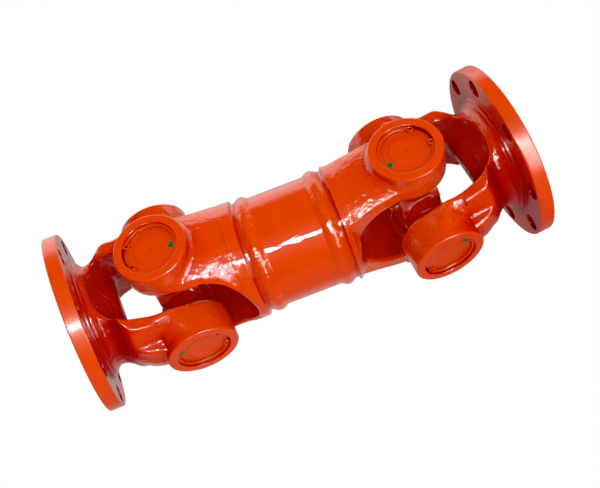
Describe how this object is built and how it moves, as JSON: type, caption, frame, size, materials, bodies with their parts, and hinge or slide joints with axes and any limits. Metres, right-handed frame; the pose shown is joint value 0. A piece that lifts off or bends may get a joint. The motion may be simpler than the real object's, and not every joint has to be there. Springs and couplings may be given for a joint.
{
  "type": "universal joint shaft",
  "caption": "Short welded cardan shaft: a tube with a forked yoke, cross and needle-bearing universal joint at each end, and round bolting flanges.",
  "frame": {"origin": "middle of the tube, on its axis", "axes": "+X along the tube towards the right joint; +Z along the bearing axis of the two tube yokes; -Y is the near side. The joints rest slightly bent, as in the picture, so the flanges are tilted from the X axis."},
  "size_m": [0.4842, 0.2, 0.1898],
  "materials": {
    "enamel": "glossy orange enamel over cast and machined steel",
    "weld_enamel": "glossy orange enamel over a weld bead",
    "cross_enamel": "glossy orange enamel, thinner in the recesses",
    "enamelled_bearing": "orange enamel over turned bearing cups and spring-steel rings, with green inspection marks",
    "enamelled_rubber": "seal rubber oversprayed with the enamel",
    "nylon": "plain",
    "bearing_steel": "ground and greased"
  },
  "bodies": {
    "shaft": {"tube": "enamel", "weld_left": "weld_enamel", "weld_right": "weld_enamel", "tube_yoke_left": "enamel", "tube_yoke_right": "enamel", "cup_left_top": "enamelled_bearing", "cup_left_bottom": "enamelled_bearing", "snap_ring_left_top": "enamelled_bearing", "snap_ring_left_bottom": "enamelled_bearing", "seal_left_top": "enamelled_rubber", "seal_left_bottom": "enamelled_rubber", "thrust_washer_left_top": "nylon", "thrust_washer_left_bottom": "nylon", "cup_right_top": "enamelled_bearing", "cup_right_bottom": "enamelled_bearing", "snap_ring_right_top": "enamelled_bearing", "snap_ring_right_bottom": "enamelled_bearing", "seal_right_top": "enamelled_rubber", "seal_right_bottom": "enamelled_rubber", "thrust_washer_right_top": "nylon", "thrust_washer_right_bottom": "nylon"},
    "cross_left": {"cross_left": "cross_enamel", "grease_nipple_left": "cross_enamel"},
    "flange_yoke_left": {"flange_yoke_left": "enamel", "cup_left_front": "enamelled_bearing", "cup_left_back": "enamelled_bearing", "snap_ring_left_front": "enamelled_bearing", "snap_ring_left_back": "enamelled_bearing", "seal_left_front": "enamelled_rubber", "seal_left_back": "enamelled_rubber", "thrust_washer_left_front": "nylon", "thrust_washer_left_back": "nylon"},
    "tube_side_rollers_left": {"rollers_left_top": "bearing_steel", "rollers_left_bottom": "bearing_steel"},
    "flange_side_rollers_left": {"rollers_left_front": "bearing_steel", "rollers_left_back": "bearing_steel"},
    "cross_right": {"cross_right": "cross_enamel", "grease_nipple_right": "cross_enamel"},
    "flange_yoke_right": {"flange_yoke_right": "enamel", "cup_right_front": "enamelled_bearing", "cup_right_back": "enamelled_bearing", "snap_ring_right_front": "enamelled_bearing", "snap_ring_right_back": "enamelled_bearing", "seal_right_front": "enamelled_rubber", "seal_right_back": "enamelled_rubber", "thrust_washer_right_front": "nylon", "thrust_washer_right_back": "nylon"},
    "tube_side_rollers_right": {"rollers_right_top": "bearing_steel", "rollers_right_bottom": "bearing_steel"},
    "flange_side_rollers_right": {"rollers_right_front": "bearing_steel", "rollers_right_back": "bearing_steel"}
  },
  "joints": [
    {"name": "cross_turn_left", "type": "hinge", "parent": "shaft", "child": "cross_left", "pos_m": [-0.126, 0, 0], "axis": [0, 0, 1], "range_deg": [-24.1, 10.9]},
    {"name": "yoke_turn_left", "type": "hinge", "parent": "cross_left", "child": "flange_yoke_left", "pos_m": [-0.126, 0, 0], "axis": [-0.1149, 0.9934, 0], "range_deg": [-26.6, 8.4]},
    {"name": "tube_side_rollers_orbit_left", "type": "hinge", "parent": "shaft", "child": "tube_side_rollers_left", "pos_m": [-0.126, 0, 0], "axis": [0, 0, 1], "range_deg": [-11.01, 5.25]},
    {"name": "flange_side_rollers_orbit_left", "type": "hinge", "parent": "cross_left", "child": "flange_side_rollers_left", "pos_m": [-0.126, 0, 0], "axis": [-0.1149, 0.9934, 0], "range_deg": [-15.51, 5.24]},
    {"name": "cross_turn_right", "type": "hinge", "parent": "shaft", "child": "cross_right", "pos_m": [0.126, 0, 0], "axis": [0, 0, 1], "range_deg": [-22.7, 12.3]},
    {"name": "yoke_turn_right", "type": "hinge", "parent": "cross_right", "child": "flange_yoke_right", "pos_m": [0.126, 0, 0], "axis": [-0.0906, 0.9959, 0], "range_deg": [-14.2, 20.8]},
    {"name": "tube_side_rollers_orbit_right", "type": "hinge", "parent": "shaft", "child": "tube_side_rollers_right", "pos_m": [0.126, 0, 0], "axis": [0, 0, 1], "range_deg": [-10.39, 5.86]},
    {"name": "flange_side_rollers_orbit_right", "type": "hinge", "parent": "cross_right", "child": "flange_side_rollers_right", "pos_m": [0.126, 0, 0], "axis": [-0.0906, 0.9959, 0], "range_deg": [-8.51, 12.23]}
  ],
  "couplings": [
    {"joint": "tube_side_rollers_orbit_left", "follows": "cross_turn_left", "ratio": 0.4359},
    {"joint": "flange_side_rollers_orbit_left", "follows": "yoke_turn_left", "ratio": 0.5641},
    {"joint": "tube_side_rollers_orbit_right", "follows": "cross_turn_right", "ratio": 0.4359},
    {"joint": "flange_side_rollers_orbit_right", "follows": "yoke_turn_right", "ratio": 0.5641}
  ]
}
